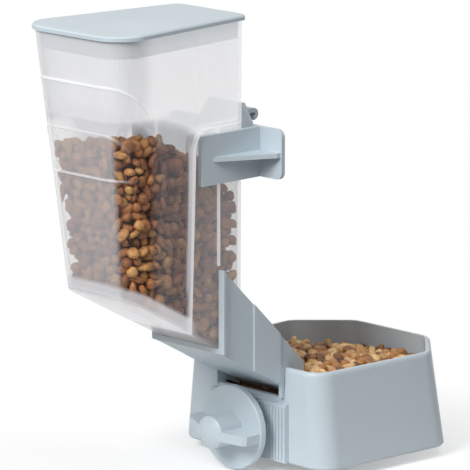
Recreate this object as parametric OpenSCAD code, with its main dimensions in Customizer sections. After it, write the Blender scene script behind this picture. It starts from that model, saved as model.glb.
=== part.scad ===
// Gravity pet feeder that hangs on the wires of a cage. The hopper stays outside, a chute
// passes between the wires, and the bowl stays inside. A wing nut clamps the wires against
// the ribbed back of the bowl, and a clip steadies the hopper higher up.
// X points from the hopper to the bowl, Z up. The origin is on the nut's axis, at the face
// that the wires are clamped against. Millimetres.

/* [Hopper] */
// Height of the hopper's rim above the nut's axis
hopper_top_z = 279.8; // [260:1:290]
// X of the flat end that faces the cage
hopper_front_x = -32; // [-36:1:-28]
// Depth of the hopper along X at its rim
hopper_depth = 124; // [110:1:130]
// Width at the rounded end, at the rim
hopper_w = 90; // [84:1:96]
// Width at the flat end, at the rim
hopper_front_w = 64; // [64:1:76]
// How far the rounded end leans in, from the rim down to the level of the nut
hopper_draft = 26; // [18:1:30]
// How much narrower the rounded end and the flat end are at the level of the nut
hopper_side_draft = 40; // [30:1:42]
hopper_front_draft = 4; // [2:1:5]
// Radius of the two upright corners at the rounded end
hopper_corner_r = 20; // [14:1:26]
// Wall thickness
hopper_wall = 2; // [1.6:0.1:3]
// Slope of the floor, in degrees
floor_slope = 28.5; // [24:0.5:32]
// Height of the floor's underside at the flat end
floor_front_z = 53.5; // [50:0.5:60]
// How far the sides of the narrow neck, which the chute and the clip hold, lie inside the flat end's width
neck_step = 3; // [2.6:0.1:4]
// X where the neck begins
neck_x = -79; // [-90:1:-74]
// Height where the neck begins
neck_z = 213; // [205:1:225]
// Radius of the neck's upper corner
neck_r = 12; // [6:1:16]
// Width and height of the raised lines moulded round the body
line_w = 1.3; // [0.8:0.1:2]
line_h = 0.5; // [0.3:0.1:0.8]
// Each line's height at the rounded end, reach along the body, fall over that reach and steepness
lines = [[250, 48, 48, 1.7], [220, 18, 13, 1.5], [190, 22, 1.5, 1]]; // three lines, top to bottom
// Width and height of the mouth that lets the food into the chute
mouth_size = [48, 34]; // [40:1:50]
// Size of the upright rail on each side of the neck that guides the clip
rail_size = [2.4, 0.8]; // [0.6:0.1:3]
// X of the rail's middle
rail_x = -54; // [-60:1:-46]

/* [Lid] */
// Thickness of the lid's plate
lid_t = 3.2; // [2.4:0.1:5]
// How far the plate reaches past the hopper
lid_lip = 2; // [1:0.5:4]
// Depth of the skirt inside the hopper
skirt_depth = 12; // [6:1:16]
// Thickness of the skirt
skirt_t = 1.6; // [1.2:0.1:2.4]
// Gap between the skirt and the hopper's wall
lid_gap = 0.5; // [0.3:0.1:1]

/* [Chute] */
// Thickness of the chute's side walls
chute_wall = 2.5; // [2:0.1:3.5]
// Thickness of the chute's floor
chute_floor_t = 3.6; // [3:0.1:5]
// X of the end under the hopper
chute_back_x = -54; // [-60:1:-44]
// X of the end in the bowl
chute_front_x = 22; // [16:1:24]
// Height of the side walls at the hopper's end
chute_wall_z = 117.5; // [105:0.5:120]
// Slope of the walls' top edge, in degrees
chute_edge_slope = 44.5; // [42:0.5:48]
// How far the lips at the hopper's end stand out, and how deep they are
chute_lip = [2.6, 5]; // [1:0.2:8]
// How much thicker the walls are at the cage side, and X where that begins
chute_pad_t = 1.6; // [0.6:0.1:2]
chute_pad_x = -25; // [-32:1:-16]
// Gap between the chute and what it holds or passes
chute_gap = 0.3; // [0.2:0.1:0.6]

/* [Bowl] */
// Half of the bowl's width at its base
bowl_half_w = 69; // [58:1:74]
// Length of the bowl from its back wall
bowl_len = 143; // [120:1:150]
// X of the back wall's outer face
bowl_back_x = 4; // [3:0.5:6]
// Half of the width of the far end
bowl_far_half_w = 38; // [30:1:46]
// How much further out each side is at the slanted corners than at the back wall
bowl_flare = 6; // [2:1:10]
// Length of each slanted corner along X
bowl_slant = 34; // [26:1:40]
// Height of the rim and of the base
bowl_rim_z = 43; // [38:1:48]
bowl_base_z = -22; // [-26:1:-20]
// How much the sides lean in from base to rim
bowl_lean = 7; // [4:1:9]
// Wall thickness
bowl_wall = 3.4; // [2.6:0.1:4.5]
// Radius of the upright corners
bowl_corner_r = 15; // [8:1:18]
// Radius of the rim's soft edge
bowl_rim_r = 3; // [2:0.5:4]
// Height of the bottom of the slot that the chute passes through
slot_z = 22.5; // [21:0.5:26]
// Width and top of the ribbed clamp panel
panel_w = 72; // [64:2:80]
panel_top_z = 19; // [16:1:20]
// Pitch and width of the panel's ribs
rib_pitch = 3; // [2.5:0.5:5]
rib_w = 1.8; // [1:0.1:2]
// Depth of the ribs
rib_d = 0.8; // [0.5:0.1:1.2]
// Radius and length of the clamp stud
stud_r = 5; // [4:0.5:7]
stud_len = 26; // [20:1:28]
// How far the stud's thicker root stands out of the ribs
stud_root = 2; // [1:0.5:3]

/* [Knob] */
// Radius of the nut's disc
disc_r = 28.5; // [24:0.5:32]
// Thickness of the disc
disc_t = 5.5; // [4:0.5:7]
// Gap between the disc and the ribs, for the cage wires, with the nut loosened
wire_gap = 9; // [4:0.5:10]
// Radius of the hub
hub_r = 11; // [9:0.5:13]
// How far the hub stands out from the disc
hub_h = 23; // [20:1:26]
// Thickness of the wing bar
wing_t = 6.5; // [5:0.5:8]
// How far the wing stands out at its ends
wing_end_h = 14; // [10:1:17]
// How much further the nut can be screwed on
nut_travel = 6; // [3:0.5:8]
// Turn of the wing from level, in degrees
wing_turn = -6; // [-30:1:30]
// Radial clearance of the nut on its stud
nut_gap = 0.06; // [0.04:0.01:0.09]

/* [Clip] */
// Height of the clip's arms
clip_h = 33; // [26:1:38]
// Height of the clip's lower edge
clip_z = 175.5; // [165:0.5:176]
// Thickness of the arms
arm_t = 3.6; // [3:0.1:4.5]
// X of the arms' ends
arm_back_x = -72; // [-76:1:-66]
// Gap between the arms and the neck
arm_gap = 0.4; // [0.3:0.1:0.8]
// Space between the hopper and the end plate, for the cage wires
clip_gap = 12; // [8:1:16]
// Thickness of the end plate
plate_t = 3; // [2.4:0.2:4]
// Half of the width over the flanges
flange_half_w = 53; // [48:1:60]
// Height of the raised middle above the arms
crown_h = 13; // [8:1:16]
// Half of the raised middle's width
crown_half_w = 15.5; // [12:0.5:24]
// Width of each sloped shoulder beside the raised middle
shoulder_w = 8; // [5:1:12]
// Thickness of the level webs
web_t = 3; // [2:0.5:4]
// Reach of the hook behind the end plate
hook_reach = 10; // [6:1:12]
// Width of the hook
hook_w = 36; // [24:2:44]

/* [Food] */
// Level of the food at the rounded end and at the flat end
food_back_z = 218; // [190:1:222]
food_front_z = 166; // [150:1:190]
// Level of the food at the bowl's walls and how much it heaps
bowl_food_z = 25; // [20:1:27]
bowl_heap = 8; // [4:1:9]

/* [Hidden] */

// Colours of the plastics and the food
plastic = [0.76, 0.82, 0.85];
frosted = [0.93, 0.94, 0.95, 0.45];
food = [0.62, 0.38, 0.2];

eps = 0.01;                       // overlap that makes cuts clean
far = 400;                        // larger than any piece
tan_f = tan(floor_slope);
neck_w = hopper_front_w - 2 * neck_step;
hopper_back_x = hopper_front_x - hopper_depth;
hopper_front_r = 6;               // radius of the upright corners at the flat end
corner_steps = 12;                // sides of each rounded corner
side_steps = 8;                   // stretches of each long side
loft_steps = 6;                   // bands between the loft's lower and upper outline
food_gap = 0.3;                   // gap between the food and the walls
lid_z = hopper_top_z + 0.2;       // underside of the lid's plate
chute_in = neck_w / 2 + chute_gap;
chute_out = chute_in + chute_wall;
slot_half_w = chute_out + chute_gap;
chute_floor_front = floor_z(chute_front_x) - chute_gap;
clip_in = neck_w / 2 + arm_gap;
clip_out = clip_in + arm_t;
plate_x = hopper_front_x + clip_gap;
clip_top_z = clip_z + clip_h;
bowl_far_x = bowl_back_x + bowl_len;

// Height of the hopper's underside at x
function floor_z(x) = floor_front_z - (x - hopper_front_x) * tan_f;

// One rounded corner of the hopper's outline
function corner(cx, cy, r, a0) =
    [for (i = [0:corner_steps]) let (a = a0 + 90 * i / corner_steps) [cx + r * cos(a), cy + r * sin(a)]];

// Points between two corners, so that the twisted sides stay smooth
function between(p, q) = [for (i = [1:side_steps - 1]) p + (q - p) * i / side_steps];

// Outline of the hopper seen from above, at a height z, shrunk by inset
function hopper_outline(z, inset) =
    let (lean = (hopper_top_z - z) / hopper_top_z,
         back = hopper_back_x + hopper_draft * lean + hopper_corner_r,
         front = hopper_front_x - hopper_front_r,
         half_back = (hopper_w - hopper_side_draft * lean) / 2 - hopper_corner_r,
         half_front = (hopper_front_w - hopper_front_draft * lean) / 2 - hopper_front_r,
         r1 = hopper_corner_r - inset,
         r2 = hopper_front_r - inset,
         a = corner(front, half_front, r2, 0), b = corner(back, half_back, r1, 90),
         c = corner(back, -half_back, r1, 180), d = corner(front, -half_front, r2, 270))
    concat(a, between(a[corner_steps], b[0]), b, c, between(c[corner_steps], d[0]), d);

module hopper_plan(z, inset = 0) {
    polygon(hopper_outline(z, inset));
}

// The drafted body between two heights, as one loft through level outlines
module hopper_loft(z0, z1, inset) {
    n = len(hopper_outline(z0, inset));
    heights = [for (i = [0:loft_steps]) z0 + (z1 - z0) * i / loft_steps];
    points = [for (z = heights) for (p = hopper_outline(z, inset)) [p[0], p[1], z]];
    sides = [for (k = [0:loft_steps - 1]) for (i = [0:n - 1]) let (j = (i + 1) % n, b = k * n)
             for (t = [[b + i, b + n + i, b + j], [b + j, b + n + i, b + n + j]]) t];
    polyhedron(points, concat(sides, [[for (i = [0:n - 1]) i]],
                              [[for (i = [n - 1:-1:0]) loft_steps * n + i]]));
}

// Everything below the sloping floor, raised by lift
module below_floor(lift) {
    translate([0, far / 2, 0]) rotate([90, 0, 0]) linear_extrude(far)
        polygon([[-far, floor_z(-far) + lift], [far, floor_z(far) + lift],
                 [far, -far], [-far, -far]]);
}

// The two side pockets that leave the narrow neck; grow widens what they remove
module neck_pockets(grow) {
    half = neck_w / 2 - grow;
    x0 = neck_x - grow;
    z1 = neck_z + grow;
    r = neck_r;
    for (s = [0, 1]) mirror([0, s, 0])
        translate([0, half + far / 4, 0]) rotate([90, 0, 0]) linear_extrude(far / 4)
            difference() {
                translate([x0, -far / 4]) square([far / 2, z1 + far / 4]);
                translate([x0, z1 - r]) difference() {
                    translate([-eps, 0]) square([r + eps, r + eps]);
                    translate([r, 0]) circle(r = r, $fn = 64);
                }
            }
}

// The hopper's solid form, shrunk by inset on every side
module hopper_form(inset, top = hopper_top_z) {
    difference() {
        hopper_loft(floor_front_z - 10, top, inset);
        neck_pockets(inset);
        below_floor(inset / cos(floor_slope));
    }
}

// Side view of a moulded line: level across the rounded end, then falling along the sides
module line_side(z, reach, fall, power) {
    x0 = hopper_back_x + 3;
    steps = 14;
    top = [for (i = [0:steps]) [x0 + (reach - 3) * i / steps, z - fall * pow(i / steps, power)]];
    polygon(concat([[x0 - 10, z]], top, [for (i = [steps:-1:0]) [top[i][0], top[i][1] - line_w]],
                   [[x0 - 10, z - line_w]]));
}

// Raised moulded lines round the body: where the outer form, grown a little, meets each line
module moulded_lines() {
    intersection() {
        hopper_loft(neck_z - 60, hopper_top_z - 10, -line_h);
        rotate([90, 0, 0]) linear_extrude(2 * hopper_w, center = true)
            for (l = lines) line_side(l[0], l[1], l[2], l[3]);
    }
}

// Mouth in the flat end, just above the floor
module mouth(grow = 0) {
    w = mouth_size[0] + 2 * grow;
    h = mouth_size[1] + 2 * grow;
    r = 6;
    z0 = floor_z(hopper_front_x) + hopper_wall / cos(floor_slope) - grow;
    translate([hopper_front_x - 3 * hopper_wall, 0, z0])
        rotate([90, 0, 90]) linear_extrude(6 * hopper_wall)
            offset(r = r) offset(delta = -r) translate([-w / 2, 0]) square([w, h]);
}

module hopper() {
    color(frosted) {
        difference() {
            union() {
                hopper_form(0);
                moulded_lines();
            }
            hopper_form(hopper_wall, top = hopper_top_z + 10);
            mouth();
        }
        // guide rails of the clip
        for (s = [0, 1]) mirror([0, s, 0])
            translate([rail_x - rail_size[0] / 2, neck_w / 2 - eps, clip_z - 55])
                cube([rail_size[0], rail_size[1], clip_top_z - clip_z + 60]);
    }
}

// Lid outline, wider than the rim, with a nearly round end
module lid_plan(grow) {
    offset(r = grow, $fn = 64) hopper_plan(hopper_top_z);
}

module lid() {
    color(plastic) {
        hull() {
            translate([0, 0, lid_z]) linear_extrude(lid_t - 1) lid_plan(lid_lip);
            translate([0, 0, lid_z + lid_t - eps]) linear_extrude(eps) lid_plan(lid_lip - 1);
        }
        difference() {
            translate([0, 0, lid_z - skirt_depth]) linear_extrude(skirt_depth + eps)
                hopper_plan(lid_z - skirt_depth, hopper_wall + lid_gap);
            translate([0, 0, lid_z - skirt_depth - 1]) linear_extrude(skirt_depth + 1)
                hopper_plan(lid_z - skirt_depth, hopper_wall + lid_gap + skirt_t);
        }
    }
}

// Side view of the chute's walls
module chute_side() {
    z_back = floor_z(chute_back_x) - chute_gap - chute_floor_t;
    z_front = chute_floor_front - chute_floor_t;
    edge = tan(chute_edge_slope);
    difference() {
        polygon([[chute_back_x, z_back], [chute_back_x, chute_wall_z],
                 [chute_back_x + 2, chute_wall_z],
                 [chute_front_x, chute_wall_z - (chute_front_x - chute_back_x - 2) * edge],
                 [chute_front_x, z_front - 2], [bowl_back_x + bowl_wall + 5, slot_z + chute_gap / 2],
                 [bowl_back_x - 3, slot_z + chute_gap / 2], [bowl_back_x - 3, floor_z(bowl_back_x - 3)
                  - chute_gap - chute_floor_t]]);
    }
}

module chute() {
    color(plastic) {
        // side walls, with their feet on the slot's edge
        for (s = [0, 1]) mirror([0, s, 0])
            translate([0, chute_out, 0]) rotate([90, 0, 0]) linear_extrude(chute_wall) chute_side();
        // floor
        rotate([90, 0, 0]) translate([0, 0, -chute_in - eps]) linear_extrude(2 * chute_in + 2 * eps)
            polygon([for (p = [[chute_back_x, 0], [chute_front_x, 0],
                               [chute_front_x, chute_floor_t], [chute_back_x, chute_floor_t]])
                     [p[0], floor_z(p[0]) - chute_gap - p[1]]]);
        for (s = [0, 1]) mirror([0, s, 0]) {
            // upright lip at the hopper's end, blended into the wall
            intersection() {
                translate([chute_back_x, chute_out, 0]) linear_extrude(far)
                    polygon([[0, -eps], [0, chute_lip[0]], [1.5, chute_lip[0]], [chute_lip[1], -eps]]);
                translate([0, chute_out + far / 4, 0]) rotate([90, 0, 0]) linear_extrude(far / 2)
                    chute_side();
            }
            // thicker wall from the cage side on
            translate([0, chute_out + chute_pad_t, 0]) rotate([90, 0, 0]) linear_extrude(chute_pad_t + eps)
                intersection() {
                    chute_side();
                    translate([chute_pad_x, slot_z + 12]) square([-chute_pad_x - 1, far]);
                }
        }
    }
}

// Outline of the bowl seen from above; lean moves the sides and the far end in
module bowl_plan(lean, inset = 0) {
    w = bowl_half_w - lean;
    x1 = bowl_far_x - lean;
    f = bowl_far_half_w - lean / 2;
    r = max(1, bowl_corner_r - inset);
    offset(r = r, $fn = 48) offset(delta = -inset - r)
        polygon([[bowl_back_x, -w], [x1 - bowl_slant, -w - bowl_flare], [x1, -f],
                 [x1, f], [x1 - bowl_slant, w + bowl_flare], [bowl_back_x, w]]);
}

// Thin slice of the bowl at a height z, where the sides have leaned in by their share
module bowl_slice(z, inset) {
    share = (z - bowl_base_z) / (bowl_rim_z - bowl_base_z);
    translate([0, 0, z]) linear_extrude(eps) bowl_plan(bowl_lean * share, inset);
}

// The space inside the bowl, shrunk by gap
module bowl_space(gap, top) {
    hull() {
        bowl_slice(bowl_base_z + bowl_wall + gap, bowl_wall + gap + 3);
        bowl_slice(bowl_base_z + bowl_wall + gap + 6, bowl_wall + gap);
        bowl_slice(top, bowl_wall + gap);
    }
}

module bowl() {
    rim_steps = 3;
    color(plastic) {
        difference() {
            hull() {
                bowl_slice(bowl_base_z, 1.5);
                bowl_slice(bowl_base_z + 1.5, 0);
                for (i = [0:rim_steps]) let (a = 90 * i / rim_steps)
                    bowl_slice(bowl_rim_z - bowl_rim_r + bowl_rim_r * sin(a) - eps,
                               bowl_rim_r * (1 - cos(a)) / 2);
            }
            bowl_space(0, bowl_rim_z + 5);
            // slot for the chute, with rounded lower corners
            translate([bowl_back_x - 5, 0, slot_z]) rotate([90, 0, 90])
                linear_extrude(bowl_wall + 10) offset(r = 1.5, $fn = 24) offset(delta = -1.5)
                    translate([-slot_half_w, 0]) square([2 * slot_half_w, far]);
        }
        // clamp panel
        translate([rib_d, -panel_w / 2, bowl_base_z + 1])
            cube([bowl_back_x - rib_d + eps, panel_w, panel_top_z - bowl_base_z - 1]);
        for (y = [-panel_w / 2 : rib_pitch : panel_w / 2 - rib_w])
            translate([0, y, bowl_base_z + 3])
                cube([rib_d + eps, rib_w, panel_top_z - bowl_base_z - 5]);
        // clamp stud with its root
        translate([bowl_back_x, 0, 0]) rotate([0, -90, 0]) cylinder(r = stud_r, h = stud_len, $fn = 64);
        translate([bowl_back_x, 0, 0]) rotate([0, -90, 0])
            cylinder(r = stud_r + 2, h = bowl_back_x + stud_root, $fn = 64);
    }
}

module knob() {
    color(plastic) rotate([0, -90, 0]) difference() {
        union() {
            // disc, hub and dome, turned in one profile
            rotate_extrude($fn = 128) {
                translate([0, wire_gap]) square([disc_r - 1.2, disc_t]);
                translate([0, wire_gap + 1.2]) square([disc_r, disc_t - 2.4]);
                translate([disc_r - 1.2, wire_gap + 1.2]) circle(r = 1.2, $fn = 32);
                translate([disc_r - 1.2, wire_gap + disc_t - 1.2]) circle(r = 1.2, $fn = 32);
                translate([0, wire_gap]) square([hub_r, disc_t + hub_h - 4]);
                intersection() {
                    translate([0, wire_gap + disc_t + hub_h - 18]) circle(r = 18, $fn = 128);
                    translate([0, wire_gap + disc_t]) square([hub_r, hub_h]);
                }
            }
            // wing bar, level across the disc
            rotate([0, 0, wing_turn]) translate([0, 0, wire_gap + disc_t - eps])
                rotate([90, 0, 90]) translate([0, 0, -wing_t / 2]) linear_extrude(wing_t)
                    polygon([[-disc_r + 1, 0], [-disc_r + 1, wing_end_h - 2], [-disc_r + 3, wing_end_h],
                             [-hub_r, hub_h - 2.5], [hub_r, hub_h - 2.5], [disc_r - 3, wing_end_h],
                             [disc_r - 1, wing_end_h - 2], [disc_r - 1, 0]]);
        }
        // blind hole for the stud
        translate([0, 0, wire_gap - 1])
            cylinder(r = stud_r + nut_gap, h = stud_len - bowl_back_x - wire_gap + 1.5 + nut_travel, $fn = 64);
        // wider mouth that takes the stud's root as the nut is screwed on
        translate([0, 0, wire_gap - eps]) cylinder(r = stud_r + 2.5, h = stud_root + eps, $fn = 64);
    }
}

// Face view of the clip's end plate: raised middle, sloped shoulders, rounded flanges
module clip_face() {
    r = 5;
    offset(r = r, $fn = 48) offset(delta = -r)
        translate([-flange_half_w, clip_z]) square([2 * flange_half_w, clip_h]);
    foot = crown_half_w + shoulder_w;
    polygon([[-foot, clip_top_z - r], [-foot, clip_top_z + 1], [-crown_half_w, clip_top_z + crown_h],
             [crown_half_w, clip_top_z + crown_h], [foot, clip_top_z + 1], [foot, clip_top_z - r]]);
}

module clip() {
    groove = rail_size[0] + 2 * arm_gap;
    color(plastic) {
        // end plate beyond the cage wires
        translate([plate_x, 0, 0]) rotate([90, 0, 90]) linear_extrude(plate_t) clip_face();
        for (s = [0, 1]) mirror([0, s, 0]) {
            // arm along the neck, with a groove for the rail
            difference() {
                translate([arm_back_x, clip_in, clip_z]) cube([plate_x - arm_back_x + eps, arm_t, clip_h]);
                translate([rail_x - groove / 2, clip_in - 1, clip_z - 1])
                    cube([groove, rail_size[1] + arm_gap + 1, clip_h + 2]);
            }
            // level web between the arm and the flange
            translate([0, 0, clip_z + clip_h / 2 - web_t / 2]) linear_extrude(web_t)
                polygon([[arm_back_x + 10, clip_out - eps], [plate_x + eps, clip_out - eps],
                         [plate_x + eps, flange_half_w - 1], [plate_x - 3, flange_half_w - 1]]);
        }
        // small hook behind the end plate
        translate([plate_x + plate_t - eps, hook_w / 2, clip_top_z + 1]) rotate([90, 0, 0])
            linear_extrude(hook_w)
            difference() {
                union() {
                    square([hook_reach - 4, 8]);
                    translate([hook_reach - 4, 4]) circle(r = 4, $fn = 48);
                }
                translate([-1, -1]) square([hook_reach - 3, 6]);
                translate([hook_reach - 4, 4]) circle(r = 1.4, $fn = 32);
            }
    }
}

// Food in the hopper, with its top sloping towards the cage
module hopper_kibble() {
    inset = hopper_wall + food_gap;
    color(food) intersection() {
        hopper_form(inset, top = hopper_top_z + 10);
        translate([0, far / 2, 0]) rotate([90, 0, 0]) linear_extrude(far)
            polygon([[hopper_back_x, 0], [hopper_front_x, 0], [hopper_front_x, food_front_z],
                     for (t = [0.2, 0.45, 0.65, 0.8])
                         [hopper_front_x - t * hopper_depth,
                          food_front_z + (food_back_z - food_front_z) * sin(90 * t / 0.8)],
                     [hopper_back_x, food_back_z]]);
    }
}

// Food in the bowl: a low heap in front of and beside the chute
module bowl_kibble() {
    color(food) difference() {
        intersection() {
            bowl_space(food_gap, bowl_rim_z + 5);
            hull() {
                bowl_slice(bowl_base_z + bowl_wall, 4);
                bowl_slice(bowl_food_z, 3);
                translate([bowl_back_x + bowl_len * 0.42, 0, bowl_food_z + bowl_heap - 2])
                    cylinder(r = 20, h = 2, $fn = 32);
            }
        }
        // room for the chute and for what slides down it
        translate([0, chute_out + 2, 0]) rotate([90, 0, 0]) linear_extrude(2 * chute_out + 4)
            polygon([[0, slot_z - 2], [chute_front_x + 1, chute_floor_front - chute_floor_t - 4],
                     [chute_front_x + 1, far], [0, far]]);
    }
}

hopper();
lid();
chute();
bowl();
knob();
clip();
hopper_kibble();
bowl_kibble();
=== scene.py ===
import math

import bmesh
import bpy
import numpy as np
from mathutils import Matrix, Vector
from mathutils.bvhtree import BVHTree


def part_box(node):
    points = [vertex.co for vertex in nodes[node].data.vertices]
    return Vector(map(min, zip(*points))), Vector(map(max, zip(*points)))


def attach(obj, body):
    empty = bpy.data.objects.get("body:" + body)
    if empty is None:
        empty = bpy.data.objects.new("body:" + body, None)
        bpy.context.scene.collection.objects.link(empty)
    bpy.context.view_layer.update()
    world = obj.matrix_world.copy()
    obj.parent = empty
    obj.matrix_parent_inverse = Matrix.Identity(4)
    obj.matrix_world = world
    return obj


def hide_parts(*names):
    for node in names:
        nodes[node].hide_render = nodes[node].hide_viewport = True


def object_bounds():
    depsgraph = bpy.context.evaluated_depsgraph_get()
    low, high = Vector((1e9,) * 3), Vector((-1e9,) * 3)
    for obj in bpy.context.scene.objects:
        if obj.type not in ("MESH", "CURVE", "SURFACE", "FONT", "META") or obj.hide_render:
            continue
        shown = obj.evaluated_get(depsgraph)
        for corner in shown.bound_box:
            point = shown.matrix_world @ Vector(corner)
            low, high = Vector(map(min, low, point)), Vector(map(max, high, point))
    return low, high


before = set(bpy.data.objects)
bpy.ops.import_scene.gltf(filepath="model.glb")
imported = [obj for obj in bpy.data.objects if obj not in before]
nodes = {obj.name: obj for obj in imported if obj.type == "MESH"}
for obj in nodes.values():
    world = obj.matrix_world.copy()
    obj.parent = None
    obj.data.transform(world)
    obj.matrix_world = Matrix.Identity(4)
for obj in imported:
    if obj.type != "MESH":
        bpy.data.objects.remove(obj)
cad_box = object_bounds()
MM = 0.001

# Camera: a long lens, at the photograph's angle
CAM_YAW = math.radians(46.0)
CAM_ELEVATION = math.radians(12.0)
CAM_DISTANCE = 3.0
CAM_TARGET = Vector((0.0126, 0.0242, 0.1229))
CAM_LENS = 344.7
CAM_SENSOR = 36.0
CAM_REACH = 20.0

# Lamps: place, size in metres and power in watts; where they aim; the world's own light
KEY_LAMP = ((-1.5, -0.3, 1.15), 0.7, 27.0)
TOP_LAMP = ((0.0, -0.75, 1.5), 0.8, 6.0)
LAMP_AIM = (0, 0, 0.12)
SOFT_LIGHT = (0.98, 0.99, 1.0, 1.0)
SOFT_STRENGTH = 0.2
# the background's white, and the colour of all emission
WHITE = (1.0, 1.0, 1.0, 1.0)

# Floor: its size, how far below the part it lies, how it fades with the distance from the
# origin, and the white that the camera sees added to it
FLOOR_SIZE = 1.6
FLOOR_DROP = 0.001
FLOOR_FADE = 0.22
FLOOR_FADE_START = 1.25
FLOOR_LIFT = 0.28

# Colours as they look under plain light, in sRGB, apart from the painted shade in the grey haze,
# the bowl's food and the core, and the painted highlights in the bowl's food
PALE_PLASTIC = (0.775, 0.822, 0.85)
FROSTED = (0.925, 0.928, 0.938)
# the grey haze is painted shade: the frosted wall darkened below the food's level, away from the
# rounded end
HAZE_PAINTED_SHADE = (0.70, 0.69, 0.72)
HOPPER_FOOD = ((0.56, 0.35, 0.20), (0.73, 0.48, 0.27), (0.85, 0.66, 0.40))
# the bowl's food: partly its own tones, partly painted highlights on the lightest pieces and
# painted shade on the darkest
BOWL_FOOD_PAINTED_CONTRAST = ((0.36, 0.20, 0.09), (0.73, 0.51, 0.29), (0.98, 0.84, 0.62))
# the core's dark brown is painted shade between and behind the outer pieces
CORE_PAINTED_SHADE = (0.30, 0.18, 0.11)
FLOOR = (0.985, 0.985, 0.985)

# Haze of the frosted plastic, as the share of light each surface of the wall stops:
# everywhere, at the rounded end, above the food, at the neck, at a grazing angle, in clouds
MILK = 0.17
MILK_END = 0.12
MILK_TOP = 0.18
MILK_NECK = 0.03
MILK_GRAZING = 0.5
MILK_CLOUDS = 0.05
# how fast the haze thickens towards a grazing angle, and what the clear strips leave out of it
GRAZING_POWER = 5.0
STRIP_CLEARNESS = 0.93
# how much of the grey haze's painted shade is lifted at the rounded end, which faces the key lamp,
# where 0 is the grey haze and 1 is FROSTED
END_WHITENESS = 0.7
# what the marks stop more: the thick edges of the neck, the raised lines, the floor's band
NECK_MARK = 0.55
LINE_MARK = 0.25
FLOOR_MARK = 0.42

# Painted light in the plastic, as emission: above the food and along the floor, there at the
# rounded end, in the neck, and as painted highlights in its thick edges and in the raised lines
GLOW = 0.35
GLOW_END = 0.05
GLOW_NECK = 0.16
EDGE_PAINTED_HIGHLIGHT = 0.4
LINE_PAINTED_HIGHLIGHT = 0.2

# Edges rounded in the render, by part, in metres, where faces meet at more than this angle;
# points closer than WELD are joined first
LID_EDGE = 0.0004
WALL_EDGE = 0.0005
HAND_EDGE = 0.0006
EDGE_ANGLE = math.radians(38)
WELD = 0.00002

# Food pieces: how far apart, how large, how far off the lattice, how many shapes and how fine
KIBBLE_SPACING = 7.2 * MM
KIBBLE_RADIUS = 4.1 * MM
KIBBLE_SIZES = (0.84, 1.14)
KIBBLE_JITTER = 1.2 * MM
KIBBLE_SHAPES = 16
KIBBLE_LEVEL = 2
# the shapes in turn are pillows, sticks, flat discs and near-round lumps, partly squared off
STRETCHES = ((1.05, 0.95, 0.70), (1.55, 0.70, 0.60), (1.15, 1.05, 0.52), (0.92, 0.86, 0.78))
SQUARENESS = 2.8
SQUARE_SHARE = 0.55
# pieces stop this far inside a wall; a face that looks up more than this is no wall
WALL_GAP = 0.15 * MM
WALL_LOOKS_UP = 0.6
SEED = 7

# Where pieces lie in the hopper: how deep below the food's surface, less deep near the
# flat front and the rounded end, where the walls press them flat
SHELL_LEAST = 2.9 * MM
SHELL_LEAST_ENDS = 1.3 * MM
SHELL_MOST = 11.5 * MM
SHELL_FRONT_X = -46.0 * MM
SHELL_BACK_X = -139.0 * MM
HOPPER_CORE_INSET = 7.5 * MM
# towards the far side of the rounded end the food lies lower by this much, from and to these
# places; pieces above SUNK_Z sink, and the core's top sinks more and more over SUNK_CORE_Z
SUNK = 13.0 * MM
SUNK_Y = (-36.0 * MM, 34.0 * MM)
SUNK_X = (-70.0 * MM, -120.0 * MM)
SUNK_Z = 0.15
SUNK_CORE_Z = (0.14, 0.19)

# Where pieces lie in the bowl: from above the heap's surface to below it, off the walls
HEAP_ABOVE = 6.5 * MM
HEAP_BELOW = 7.0 * MM
HEAP_OFF_WALL = 2.6 * MM
HEAP_ROOM = 0.008
BOWL_CORE_INSET = 4.5 * MM
CORE_VOXEL = 0.004
# the walls are measured no higher than this, and the surface from above, from this height
BOWL_WALL_Z = 0.015
ABOVE_BOWL_Z = 0.2
# no piece lies in the slot of the back wall: its run, its half width, its lower edge
SLOT_X = 25 * MM
SLOT_HALF_W = 34 * MM
SLOT_Z = 13 * MM
# the heap falls towards the bowl's far end and its far side, by mm, from and to these places
DROP_END = 4.0
DROP_END_X = (55.0 * MM, 115.0 * MM)
DROP_SIDE = 1.5
DROP_SIDE_Y = (0.0, 40.0 * MM)

# Where pieces lie on the chute: its run, its half width, the box that they are sought in,
# and the food's depth on its floor, at least, and at most in mm at the mouth and at the bowl
CHUTE_START_X = -33.0 * MM
CHUTE_PAST_END = 3 * MM
CHUTE_HALF_W = 25.3 * MM
CHUTE_BOX_Y = 26 * MM
CHUTE_BOX_Z = (20 * MM, 90 * MM)
CHUTE_FOOD_MIN = 2.8 * MM
CHUTE_FOOD_AT_MOUTH = 26.0
CHUTE_FOOD_AT_BOWL = 12.0

# The hopper in its own coordinates: where its rounded end, its clear corner strips, its
# raised lines, its neck, its rails and its floor lie, as the frosted material marks them
HOPPER_BACK_X = -156.0 * MM
HOPPER_FRONT_X = -32.0 * MM
END_X = -122.0 * MM
END_FADE = 20.0 * MM
STRIP_LEFT = -107.0 * MM
STRIP_LEAN = 0.062
STRIP_RIGHT = -82.0 * MM
STRIP_TOP_Z = 217.0 * MM
STRIP_ACROSS = 0.967
STRIP_FADE = 5.0 * MM
STRIP_FADE_RIGHT = 12.0 * MM
# each raised line in mm: its height at the end, its reach, its fall and how it curves
LINES = ((250, 48, 48, 1.7), (220, 18, 13, 1.5), (190, 22, 1.5, 1))
LINE_W = 1.0 * MM
LINE_SOFT = 0.4 * MM
# in mm: how far from the rounded end's tip a line starts to fall, and how long its end fades
LINE_START = 3.0
LINE_FADE = 9.0
NECK_X = -79.0 * MM
NECK_Z = 213.0 * MM
NECK_R = 12.0 * MM
NECK_HALF_W = 29.0 * MM
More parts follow.
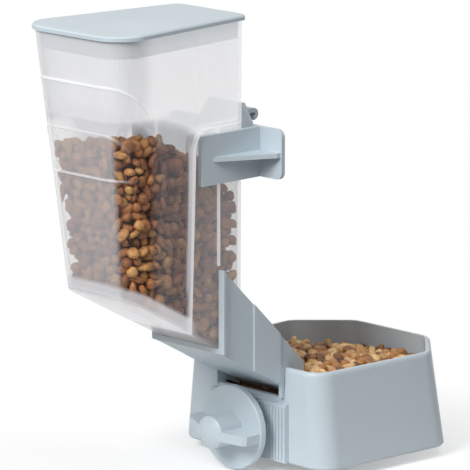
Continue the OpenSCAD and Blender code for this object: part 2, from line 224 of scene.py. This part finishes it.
# the light band round the neck's edge, and the rail that the clip slides on
NECK_BAND = 2.5 * MM
NECK_BAND_FADE = 3.5 * MM
RAIL_X = -54.0 * MM
RAIL_HALF_W = 1.2 * MM
FLOOR_SLOPE = math.tan(math.radians(28.5))
FLOOR_FRONT_Z = 53.5 * MM
# the white band along the floor ends at this height, counted at x = 0 along the slope
FLOOR_LEVEL = 44.5 * MM
FLOOR_END_DROP = 3.5 * MM
# the food's level: flat behind FOOD_TURN_X, and a parabola in front of it (1/m)
FOOD_TOP_Z = 221.0 * MM
FOOD_TURN_X = -131.0 * MM
FOOD_FALL = 5.3
FOOD_TOP_FADE = 7.0 * MM


def linear(colour):
    """An sRGB colour as linear RGBA."""
    def one(c):
        return c / 12.92 if c <= 0.04045 else ((c + 0.055) / 1.055) ** 2.4
    return tuple(one(c) for c in colour) + (1.0,)


def new_material(name):
    """A material with an empty node tree, its nodes and its links."""
    mat = bpy.data.materials.new(name)
    mat.use_nodes = True
    tree = mat.node_tree
    tree.nodes.clear()
    out = tree.nodes.new("ShaderNodeOutputMaterial")
    shader = tree.nodes.new("ShaderNodeBsdfPrincipled")
    tree.links.new(shader.outputs["BSDF"], out.inputs["Surface"])
    return mat, tree, shader


def math_node(tree, operation, a, b=None, c=None, clamp=False):
    """A Math node fed by sockets or numbers, and its output."""
    node = tree.nodes.new("ShaderNodeMath")
    node.operation = operation
    node.use_clamp = clamp
    for i, value in enumerate((a, b, c)):
        if value is None:
            continue
        if isinstance(value, (int, float)):
            node.inputs[i].default_value = value
        else:
            tree.links.new(value, node.inputs[i])
    return node.outputs[0]


def noise(tree, scale, detail=3.0, roughness=0.5):
    """Noise over the object's own coordinates."""
    coord = tree.nodes.new("ShaderNodeTexCoord")
    node = tree.nodes.new("ShaderNodeTexNoise")
    node.inputs["Scale"].default_value = scale
    node.inputs["Detail"].default_value = detail
    node.inputs["Roughness"].default_value = roughness
    tree.links.new(coord.outputs["Object"], node.inputs["Vector"])
    return node.outputs["Fac"]


def ramp(tree, fac, stops):
    """A colour ramp with (position, linear colour) stops."""
    node = tree.nodes.new("ShaderNodeValToRGB")
    while len(node.color_ramp.elements) < len(stops):
        node.color_ramp.elements.new(0.5)
    for element, (position, colour) in zip(node.color_ramp.elements, stops):
        element.position = position
        element.color = colour
    tree.links.new(fac, node.inputs["Fac"])
    return node.outputs["Color"]


def bump(tree, shader, height, strength, distance):
    """Feeds a bump into the shader's normal."""
    node = tree.nodes.new("ShaderNodeBump")
    node.inputs["Strength"].default_value = strength
    node.inputs["Distance"].default_value = distance
    tree.links.new(height, node.inputs["Height"])
    tree.links.new(node.outputs["Normal"], shader.inputs["Normal"])


def scaled(colour, factor):
    """A linear colour made darker or lighter."""
    return tuple(min(1.0, c * factor) for c in colour[:3]) + (1.0,)


def plastic_material():
    """Pale satin plastic: faint flow marks in the colour, a fine moulded grain."""
    mat, tree, shader = new_material("pale_plastic")
    base = linear(PALE_PLASTIC)
    flow = noise(tree, 18.0, 4.0)
    colour = ramp(tree, flow, [(0.25, scaled(base, 0.955)), (0.75, scaled(base, 1.03))])
    tree.links.new(colour, shader.inputs["Base Color"])
    gloss = noise(tree, 60.0, 3.0)
    rough = math_node(tree, "MULTIPLY_ADD", gloss, 0.14, 0.33)
    tree.links.new(rough, shader.inputs["Roughness"])
    shader.inputs["Specular IOR Level"].default_value = 0.5
    grain = noise(tree, 1500.0, 2.0)
    bump(tree, shader, grain, 0.12, 0.0001)
    return mat


def coordinates(tree):
    """The object's own x, y and z, and the size of y."""
    coord = tree.nodes.new("ShaderNodeTexCoord")
    split = tree.nodes.new("ShaderNodeSeparateXYZ")
    tree.links.new(coord.outputs["Object"], split.inputs[0])
    x, y, z = split.outputs[0], split.outputs[1], split.outputs[2]
    return x, z, math_node(tree, "ABSOLUTE", y)


def rise(tree, value, edge, width):
    """0 where the value is below the edge, 1 a width above it."""
    return math_node(tree, "MULTIPLY_ADD", value, 1.0 / width, -edge / width, clamp=True)


def fall(tree, value, edge, width):
    """1 where the value is below the edge, 0 a width above it."""
    return math_node(tree, "MULTIPLY_ADD", value, -1.0 / width, 1.0 + edge / width, clamp=True)


def product(tree, *factors):
    """The product of several sockets."""
    total = factors[0]
    for factor in factors[1:]:
        total = math_node(tree, "MULTIPLY", total, factor)
    return total


def clear_strips(tree, x, z, side):
    """1 on the two rounded upright corners, up to the level of the food, else 0."""
    across = math_node(tree, "MULTIPLY_ADD", side, STRIP_ACROSS, x)
    left = math_node(tree, "MULTIPLY_ADD", z, STRIP_LEAN, across)
    return product(tree, rise(tree, left, STRIP_LEFT, STRIP_FADE),
                   fall(tree, across, STRIP_RIGHT - STRIP_FADE, STRIP_FADE_RIGHT),
                   fall(tree, z, STRIP_TOP_Z, STRIP_FADE))


def line_marks(tree, x, z):
    """1 on the raised lines, which run level round the end and then fall along the sides."""
    total = None
    start = HOPPER_BACK_X + LINE_START * MM
    for top, reach, drop, power in LINES:
        along = rise(tree, x, start, (reach - LINE_START) * MM)
        along = math_node(tree, "POWER", along, power)
        height = math_node(tree, "MULTIPLY_ADD", along, drop * MM, z)
        off = math_node(tree, "SUBTRACT", height, top * MM - LINE_W / 2)
        off = math_node(tree, "ABSOLUTE", off)
        last = start + (reach - LINE_START - LINE_FADE) * MM
        mark = product(tree, fall(tree, off, LINE_W / 2, LINE_SOFT),
                       fall(tree, x, last, LINE_FADE * MM))
        total = mark if total is None else math_node(tree, "MAXIMUM", total, mark)
    return total


def neck_marks(tree, x, z, side):
    """1 on the thick edge round the neck's pockets and on the clip's rails, else 0."""
    beside = math_node(tree, "SUBTRACT", NECK_X + NECK_R, x)
    beside = math_node(tree, "MAXIMUM", beside, 0.0)
    above = math_node(tree, "SUBTRACT", z, NECK_Z - NECK_R)
    above = math_node(tree, "MAXIMUM", above, 0.0)
    square = math_node(tree, "MULTIPLY", beside, beside)
    square = math_node(tree, "MULTIPLY_ADD", above, above, square)
    off = math_node(tree, "SQRT", square)
    # the band is 6 mm wide beside the neck and 2.4 mm wide above it
    wide = math_node(tree, "MULTIPLY_ADD", above, 0.3, off)
    edge = product(tree, rise(tree, off, NECK_R - 0.5 * MM, 0.4 * MM),
                   fall(tree, wide, NECK_R + NECK_BAND, NECK_BAND_FADE),
                   rise(tree, side, NECK_HALF_W + 0.6 * MM, 0.4 * MM))
    rail = math_node(tree, "SUBTRACT", x, RAIL_X)
    rail = math_node(tree, "ABSOLUTE", rail)
    rail = product(tree, fall(tree, rail, RAIL_HALF_W, 0.2 * MM),
                   fall(tree, z, NECK_Z, 0.2 * MM),
                   rise(tree, side, NECK_HALF_W + 0.1 * MM, 0.2 * MM))
    return math_node(tree, "MAXIMUM", edge, rail)


def over_food(tree, x, z):
    """1 above the level of the food, which falls towards the neck, else 0."""
    past = math_node(tree, "SUBTRACT", x, FOOD_TURN_X)
    past = math_node(tree, "MAXIMUM", past, 0.0)
    square = math_node(tree, "MULTIPLY", past, past)
    level = math_node(tree, "MULTIPLY_ADD", square, FOOD_FALL, z)
    return rise(tree, level, FOOD_TOP_Z, FOOD_TOP_FADE)


def floor_band(tree, x, z, end):
    """1 along the sloping floor, up to the neck, and lower at the rounded end, else 0."""
    level = math_node(tree, "MULTIPLY_ADD", x, FLOOR_SLOPE, z)
    level = math_node(tree, "MULTIPLY_ADD", end, FLOOR_END_DROP, level)
    return product(tree, fall(tree, level, FLOOR_LEVEL, 3.0 * MM),
                   fall(tree, x, NECK_X, 8.0 * MM))


def grazing(tree):
    """0 where the wall is seen square on, towards 1 where the view runs along it."""
    weight = tree.nodes.new("ShaderNodeLayerWeight")
    weight.inputs["Blend"].default_value = 0.5
    return math_node(tree, "POWER", weight.outputs["Facing"], GRAZING_POWER)


def frosted_material():
    """Frosted plastic: clear on the rounded corners, white above the food and along its floor,
    grey with painted shade below the food, and lit with painted light as emission.
    """
    mat, tree, shader = new_material("frosted_plastic")
    x, z, side = coordinates(tree)
    cloud = noise(tree, 14.0, 3.0)
    end = fall(tree, x, END_X - END_FADE, END_FADE)
    above = over_food(tree, x, z)
    in_neck = rise(tree, x, NECK_X, 1.0 * MM)
    lines = line_marks(tree, x, z)
    neck = neck_marks(tree, x, z, side)
    floor = floor_band(tree, x, z, end)

    # painted shade: the wall greyed below the food's level, less so at the rounded end that faces
    # the key lamp
    white_end = math_node(tree, "MULTIPLY", end, END_WHITENESS)
    white = math_node(tree, "MAXIMUM", above, white_end)
    colour = ramp(tree, white, [(0.0, linear(HAZE_PAINTED_SHADE)), (1.0, linear(FROSTED))])
    tree.links.new(colour, shader.inputs["Base Color"])

    milk = math_node(tree, "MULTIPLY_ADD", end, MILK_END, MILK)
    milk = math_node(tree, "MULTIPLY_ADD", cloud, MILK_CLOUDS, milk)
    milk = math_node(tree, "MULTIPLY_ADD", above, MILK_TOP, milk)
    strips = clear_strips(tree, x, z, side)
    clear = math_node(tree, "MULTIPLY_ADD", strips, -STRIP_CLEARNESS, 1.0)
    milk = math_node(tree, "MULTIPLY", milk, clear)
    milk = math_node(tree, "MULTIPLY_ADD", in_neck, MILK_NECK, milk)
    milk = math_node(tree, "MULTIPLY_ADD", grazing(tree), MILK_GRAZING, milk)
    alpha = math_node(tree, "MULTIPLY_ADD", neck, NECK_MARK, milk)
    alpha = math_node(tree, "MULTIPLY_ADD", lines, LINE_MARK, alpha)
    alpha = math_node(tree, "MULTIPLY_ADD", floor, FLOOR_MARK, alpha, clamp=True)
    tree.links.new(alpha, shader.inputs["Alpha"])

    # painted light, as emission in the milky wall: less of it at the end, which faces the lamp
    painted_glow = math_node(tree, "MULTIPLY_ADD", end, GLOW_END - GLOW, GLOW)
    spread = math_node(tree, "MAXIMUM", above, floor)
    painted_glow = math_node(tree, "MULTIPLY", painted_glow, spread)
    # painted highlights on the neck's thick edges and the raised lines, and painted light in the
    # recessed neck
    for mark, glow in ((neck, EDGE_PAINTED_HIGHLIGHT), (lines, LINE_PAINTED_HIGHLIGHT), (in_neck, GLOW_NECK)):
        lit = math_node(tree, "MULTIPLY", mark, glow)
        painted_glow = math_node(tree, "MAXIMUM", painted_glow, lit)
    shader.inputs["Emission Color"].default_value = WHITE
    tree.links.new(painted_glow, shader.inputs["Emission Strength"])
    shader.inputs["Roughness"].default_value = 0.28
    grain = noise(tree, 900.0, 2.0)
    bump(tree, shader, grain, 0.08, 0.0001)
    return mat


def kibble_material(name, colours):
    """Baked dry food: each piece its own brown, with darker crumbs and a rough crust."""
    mat, tree, shader = new_material(name)
    geo = tree.nodes.new("ShaderNodeNewGeometry")
    dark, mid, light = (linear(c) for c in colours)
    piece = ramp(tree, geo.outputs["Random Per Island"], [(0.0, dark), (0.45, mid), (1.0, light)])
    crumbs = noise(tree, 520.0, 4.0, 0.65)
    spots = ramp(tree, crumbs, [(0.32, (0.55, 0.5, 0.45, 1.0)), (0.62, (1.12, 1.08, 1.0, 1.0))])
    mix = tree.nodes.new("ShaderNodeMix")
    mix.data_type = "RGBA"
    mix.blend_type = "MULTIPLY"
    mix.inputs["Factor"].default_value = 0.8
    tree.links.new(piece, mix.inputs["A"])
    tree.links.new(spots, mix.inputs["B"])
    tree.links.new(mix.outputs["Result"], shader.inputs["Base Color"])
    shader.inputs["Roughness"].default_value = 0.5
    shader.inputs["Specular IOR Level"].default_value = 0.5
    bump(tree, shader, crumbs, 0.55, 0.0006)
    return mat


def core_material():
    """Food behind the outer pieces, dark with painted shade."""
    mat, tree, shader = new_material("kibble_core_painted_shade")
    base = linear(CORE_PAINTED_SHADE)
    lumps = noise(tree, 260.0, 4.0)
    colour = ramp(tree, lumps, [(0.35, scaled(base, 0.6)), (0.65, scaled(base, 1.5))])
    tree.links.new(colour, shader.inputs["Base Color"])
    shader.inputs["Roughness"].default_value = 0.9
    bump(tree, shader, lumps, 0.8, 0.002)
    return mat


def dress(name, mat, edge):
    """Gives a CAD node its material, soft edges and clean shading."""
    obj = nodes[name]
    obj.data.materials.clear()
    obj.data.materials.append(mat)
    weld = obj.modifiers.new("weld", "WELD")
    weld.merge_threshold = WELD
    if edge:
        bevel = obj.modifiers.new("bevel", "BEVEL")
        bevel.width = edge
        bevel.segments = 3
        bevel.limit_method = "ANGLE"
        bevel.angle_limit = EDGE_ANGLE
        bevel.harden_normals = True
        bevel.use_clamp_overlap = True


def add_object(name, mesh, mat):
    """A new object in the scene, with one material."""
    obj = bpy.data.objects.new(name, mesh)
    bpy.context.scene.collection.objects.link(obj)
    mesh.materials.clear()
    mesh.materials.append(mat)
    return obj


def smooth(mesh):
    """Smooth shading on every face."""
    mesh.polygons.foreach_set("use_smooth", [True] * len(mesh.polygons))


def kibble_shapes(rng):
    """A few lumpy unit shapes: pillows, sticks and flat discs."""
    shapes = []
    for i in range(KIBBLE_SHAPES):
        bm = bmesh.new()
        bmesh.ops.create_icosphere(bm, subdivisions=KIBBLE_LEVEL, radius=1.0)
        points = np.array([v.co[:] for v in bm.verts])
        faces = np.array([[v.index for v in f.verts] for f in bm.faces])
        bm.free()
        stretch = STRETCHES[i % len(STRETCHES)]
        phase = rng.uniform(0, 2 * math.pi, 3)
        x, y, z = points[:, 0], points[:, 1], points[:, 2]
        lump = 1.0 + 0.10 * np.sin(3.1 * x + phase[0]) * np.cos(2.7 * y + phase[1])
        lump += 0.07 * np.sin(5.3 * z + phase[2])
        reach = (np.abs(points) ** SQUARENESS).sum(axis=1, keepdims=True)
        squarer = points / reach ** (1 / SQUARENESS)
        body = (1 - SQUARE_SHARE) * points + SQUARE_SHARE * squarer
        shapes.append((body * lump[:, None] * np.array(stretch), faces))
    return shapes


def random_rotation(rng):
    """A uniform random rotation matrix."""
    q = rng.normal(size=4)
    q /= np.linalg.norm(q)
    w, x, y, z = q
    return np.array([[1 - 2 * (y * y + z * z), 2 * (x * y - z * w), 2 * (x * z + y * w)],
                     [2 * (x * y + z * w), 1 - 2 * (x * x + z * z), 2 * (y * z - x * w)],
                     [2 * (x * z - y * w), 2 * (y * z + x * w), 1 - 2 * (x * x + y * y)]])


def lattice(low, high, rng):
    """Jittered close-packed points in a box."""
    points = []
    spacing = KIBBLE_SPACING
    layer = spacing * math.sqrt(2 / 3)
    row = spacing * math.sqrt(3) / 2
    for k in range(int((high[2] - low[2]) / layer) + 2):
        for j in range(int((high[1] - low[1]) / row) + 2):
            for i in range(int((high[0] - low[0]) / spacing) + 2):
                points.append((low[0] + spacing * (i + 0.5 * (j % 2) + 0.5 * (k % 2)),
                               low[1] + row * (j + (k % 2) / 3), low[2] + layer * k))
    points = np.array(points)
    return points + rng.uniform(-KIBBLE_JITTER, KIBBLE_JITTER, points.shape)


def solid_tree(node):
    """A search tree over a CAD node's surface."""
    bm = bmesh.new()
    bm.from_mesh(nodes[node].data)
    tree = BVHTree.FromBMesh(bm)
    bm.free()
    return tree


def inside(tree, point):
    """True if a ray from the point crosses the surface an odd number of times."""
    start = Vector(point)
    way = Vector((0.137, 0.211, 0.968)).normalized()
    crossings = 0
    for _ in range(40):
        hit = tree.ray_cast(start, way)[0]
        if hit is None:
            break
        crossings += 1
        start = hit + way * 1e-6
    return crossings % 2 == 1


def depth_in(tree, point):
    """Depth of a point below the solid's surface; negative outside."""
    dist = tree.find_nearest(Vector(point))[3]
    return dist if inside(tree, point) else -dist


def press(points, tree):
    """Points of a piece that would pass through a wall, laid against it instead."""
    for i, point in enumerate(points):
        place, normal, _, _ = tree.find_nearest(Vector(point))
        past = (Vector(point) - place).dot(normal)
        if normal.z < WALL_LOOKS_UP and past > -WALL_GAP:
            points[i] = place - normal * WALL_GAP
    return points


def scatter(name, points, mat, rng, wall=None):
    """One mesh of many food pieces, one at each point, kept inside a wall."""
    shapes = kibble_shapes(rng)
    verts, faces, base = [], [], 0
    for p in points:
        body, tris = shapes[rng.integers(len(shapes))]
        size = KIBBLE_RADIUS * rng.uniform(*KIBBLE_SIZES)
        placed = (body * size) @ random_rotation(rng).T + p
        if wall:
            placed = press(placed, wall)
        verts.append(placed)
        faces.append(tris + base)
        base += len(placed)
    mesh = bpy.data.meshes.new(name)
    mesh.from_pydata(np.concatenate(verts).tolist(), [], np.concatenate(faces).tolist())
    smooth(mesh)
    return add_object(name, mesh, mat)


def core(name, node, inset, mat):
    """A lumpy body inside a heap, dark with painted shade, so that no gap shows through it."""
    obj = add_object(name, nodes[node].data.copy(), mat)
    remesh = obj.modifiers.new("remesh", "REMESH")
    remesh.mode = "VOXEL"
    remesh.voxel_size = CORE_VOXEL
    shrink = obj.modifiers.new("shrink", "DISPLACE")
    shrink.strength = -inset
    shrink.mid_level = 0.0
    bpy.context.view_layer.update()
    evaluated = obj.evaluated_get(bpy.context.evaluated_depsgraph_get())
    done = bpy.data.meshes.new_from_object(evaluated)
    obj.modifiers.clear()
    obj.data = done
    smooth(done)
    return obj


def share(value, start, end):
    """0 before the start, 1 past the end, and even between them."""
    return min(1.0, max(0.0, (value - start) / (end - start)))


def sunk(x, y):
    """How much lower the food lies towards the far side of the rounded end."""
    return SUNK * share(y, *SUNK_Y) * share(x, *SUNK_X)


def shell_least(x):
    """How deep a piece has to lie in the hopper's food at this x."""
    near_end = x > SHELL_FRONT_X or x < SHELL_BACK_X
    return SHELL_LEAST_ENDS if near_end else SHELL_LEAST


def hopper_food(mat, dark, rng):
    """Pieces against the hopper's walls and on top, over a dark core."""
    tree = solid_tree("hopper_kibble")
    low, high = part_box("hopper_kibble")
    points = []
    for p in lattice(low, high, rng):
        lift = sunk(p[0], p[1]) if p[2] > SUNK_Z else 0.0
        deep = min(depth_in(tree, (p[0], p[1], p[2] + lift)), depth_in(tree, p))
        if shell_least(p[0]) < deep < SHELL_MOST:
            points.append(p)
    heap = scatter("hopper_food", points, mat, rng, tree)
    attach(heap, "root")
    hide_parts("hopper_kibble")
    behind = core("hopper_food_core", "hopper_kibble", HOPPER_CORE_INSET, dark)
    for v in behind.data.vertices:
        v.co.z -= sunk(v.co.x, v.co.y) * share(v.co.z, *SUNK_CORE_Z)
    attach(behind, "root")


def bowl_drop(x, y):
    """How much lower the food lies towards the bowl's far end and its far side."""
    return (DROP_END * share(x, *DROP_END_X) + DROP_SIDE * share(y, *DROP_SIDE_Y)) * MM


def bowl_food(mat, dark, rng):
    """Pieces heaped in the bowl, over a dark core."""
    tree = solid_tree("bowl_kibble")
    low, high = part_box("bowl_kibble")
    points = []
    for p in lattice(low, (high[0], high[1], high[2] + HEAP_ROOM), rng):
        hit = tree.ray_cast(Vector((p[0], p[1], ABOVE_BOWL_Z)), Vector((0, 0, -1)))[0]
        if hit is None:
            continue
        below = hit.z - p[2] - bowl_drop(p[0], p[1])
        wall = tree.find_nearest(Vector((p[0], p[1], min(p[2], BOWL_WALL_Z))))[3]
        at_slot = p[0] < SLOT_X and abs(p[1]) < SLOT_HALF_W and p[2] > SLOT_Z
        if -HEAP_ABOVE < below < HEAP_BELOW and wall > HEAP_OFF_WALL and not at_slot:
            points.append(p)
    heap = scatter("bowl_food", points, mat, rng, tree)
    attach(heap, "root")
    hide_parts("bowl_kibble")
    behind = core("bowl_food_core", "bowl_kibble", BOWL_CORE_INSET, dark)
    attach(behind, "root")


def chute_food(mat, rng):
    """Pieces that slide down the chute, from the hopper's mouth into the bowl."""
    start, end = CHUTE_START_X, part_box("chute")[1][0] + CHUTE_PAST_END
    points = []
    low = (start, -CHUTE_BOX_Y, CHUTE_BOX_Z[0])
    high = (end, CHUTE_BOX_Y, CHUTE_BOX_Z[1])
    thinner = CHUTE_FOOD_AT_MOUTH - CHUTE_FOOD_AT_BOWL
    for p in lattice(low, high, rng):
        deep = (CHUTE_FOOD_AT_MOUTH - thinner * (p[0] - start) / (end - start)) * MM
        above = p[2] - (FLOOR_FRONT_Z - (p[0] - HOPPER_FRONT_X) * FLOOR_SLOPE)
        on_chute = start < p[0] < end and abs(p[1]) < CHUTE_HALF_W
        if on_chute and CHUTE_FOOD_MIN < above < deep:
            points.append(p)
    heap = scatter("chute_food", points, mat, rng)
    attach(heap, "root")


def look_at(obj, target):
    """Turns an object so that it looks at a point."""
    obj.rotation_euler = (Vector(target) - obj.location).to_track_quat("-Z", "Y").to_euler()


def add_camera():
    """The camera, aimed at the photograph's frame."""
    data = bpy.data.cameras.new("camera")
    data.lens = CAM_LENS
    data.sensor_width = CAM_SENSOR
    data.clip_end = CAM_REACH
    cam = bpy.data.objects.new("camera", data)
    bpy.context.scene.collection.objects.link(cam)
    flat = math.cos(CAM_ELEVATION)
    forward = Vector((math.cos(CAM_YAW) * flat, math.sin(CAM_YAW) * flat,
                      -math.sin(CAM_ELEVATION)))
    cam.location = CAM_TARGET - CAM_DISTANCE * forward
    look_at(cam, CAM_TARGET)
    bpy.context.scene.camera = cam


def add_light(name, location, size, power):
    """A square lamp that is aimed at the middle of the part."""
    data = bpy.data.lights.new(name, "AREA")
    data.shape = "SQUARE"
    data.size = size
    data.energy = power
    lamp = bpy.data.objects.new(name, data)
    bpy.context.scene.collection.objects.link(lamp)
    lamp.location = location
    look_at(lamp, LAMP_AIM)


def add_world():
    """Even soft light, and plain white where the camera or a reflection looks past the object."""
    world = bpy.data.worlds.new("studio")
    bpy.context.scene.world = world
    world.use_nodes = True
    tree = world.node_tree
    tree.nodes.clear()
    out = tree.nodes.new("ShaderNodeOutputWorld")
    soft = tree.nodes.new("ShaderNodeBackground")
    soft.inputs["Color"].default_value = SOFT_LIGHT
    soft.inputs["Strength"].default_value = SOFT_STRENGTH
    white = tree.nodes.new("ShaderNodeBackground")
    white.inputs["Color"].default_value = WHITE
    path = tree.nodes.new("ShaderNodeLightPath")
    seen = math_node(tree, "MAXIMUM", path.outputs["Is Camera Ray"], path.outputs["Is Glossy Ray"])
    seen = math_node(tree, "MAXIMUM", seen, path.outputs["Is Transmission Ray"])
    mix = tree.nodes.new("ShaderNodeMixShader")
    tree.links.new(seen, mix.inputs[0])
    tree.links.new(soft.outputs[0], mix.inputs[1])
    tree.links.new(white.outputs[0], mix.inputs[2])
    tree.links.new(mix.outputs[0], out.inputs["Surface"])


def add_floor():
    """A pale floor that fades into the white round the object."""
    low_z = cad_box[0][2] - FLOOR_DROP
    bpy.ops.mesh.primitive_plane_add(size=FLOOR_SIZE, location=(0, 0, low_z))
    floor = bpy.context.object
    floor.name = "floor"
    mat, tree, shader = new_material("floor")
    shader.inputs["Base Color"].default_value = linear(FLOOR)
    shader.inputs["Roughness"].default_value = 0.9
    coord = tree.nodes.new("ShaderNodeTexCoord")
    length = tree.nodes.new("ShaderNodeVectorMath")
    length.operation = "LENGTH"
    tree.links.new(coord.outputs["Object"], length.inputs[0])
    fade = math_node(tree, "MULTIPLY_ADD", length.outputs["Value"], -1.0 / FLOOR_FADE,
                     FLOOR_FADE_START, clamp=True)
    tree.links.new(fade, shader.inputs["Alpha"])
    # to the camera the floor is as white as the background, apart from the shadow
    path = tree.nodes.new("ShaderNodeLightPath")
    shader.inputs["Emission Color"].default_value = WHITE
    lift = math_node(tree, "MULTIPLY", path.outputs["Is Camera Ray"], FLOOR_LIFT)
    tree.links.new(lift, shader.inputs["Emission Strength"])
    floor.data.materials.append(mat)


plastic = plastic_material()
frosted = frosted_material()
kibble = kibble_material("kibble", HOPPER_FOOD)
# the bowl's copy of the food, with painted highlights and painted shade in its wider range of
# browns
kibble_in_bowl_painted_contrast = kibble_material("kibble_in_bowl_painted_contrast", BOWL_FOOD_PAINTED_CONTRAST)
kibble_core_painted_shade = core_material()
rng = np.random.default_rng(SEED)

dress("hopper", frosted, 0)
dress("lid", plastic, LID_EDGE)
dress("chute", plastic, WALL_EDGE)
dress("bowl", plastic, WALL_EDGE)
dress("knob", plastic, HAND_EDGE)
dress("clip", plastic, HAND_EDGE)
hopper_food(kibble, kibble_core_painted_shade, rng)
bowl_food(kibble_in_bowl_painted_contrast, kibble_core_painted_shade, rng)
chute_food(kibble, rng)

add_camera()
add_world()
add_light("key", *KEY_LAMP)
add_light("top", *TOP_LAMP)
add_floor()
bpy.context.scene.view_settings.view_transform = "Standard"
